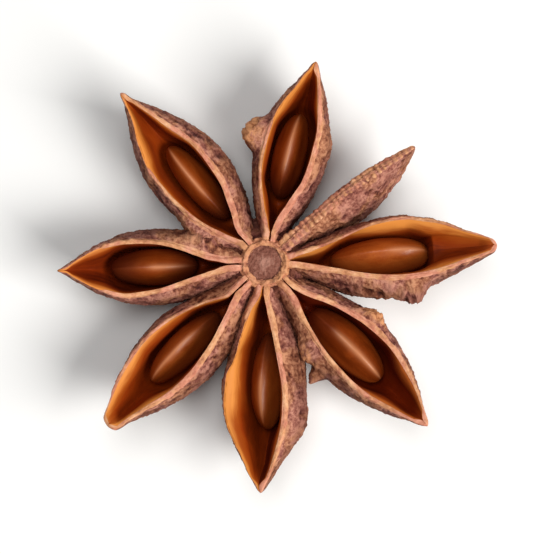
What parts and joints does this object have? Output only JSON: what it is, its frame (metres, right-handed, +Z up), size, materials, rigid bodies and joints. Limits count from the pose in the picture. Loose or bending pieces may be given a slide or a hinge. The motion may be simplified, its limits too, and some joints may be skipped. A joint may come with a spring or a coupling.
{
  "type": "star anise pod",
  "caption": "Dried star-shaped spice fruit: woody boat-shaped pockets joined round a hub, split open on top with a glossy seed in each, one pocket shut.",
  "frame": {"origin": "under the middle of the pod's bounding box, on the surface that it rests on", "axes": "+Z up, out of the open mouths and across the flat star; +X to the right of the star as seen from above"},
  "size_m": [0.033, 0.0325, 0.0083],
  "materials": {
    "husk": "dried woody husk: rough wrinkled reddish-brown bark outside, smooth satin orange-brown lining inside, pale tan lips",
    "seed": "hard glossy chestnut-brown seed coat with a fine paler ridge along its top edge"
  },
  "bodies": {
    "root": {"husk": "husk", "seed_a": "seed", "seed_b": "seed", "seed_d": "seed", "seed_e": "seed", "seed_f": "seed", "seed_g": "seed", "seed_h": "seed"}
  },
  "joints": []
}
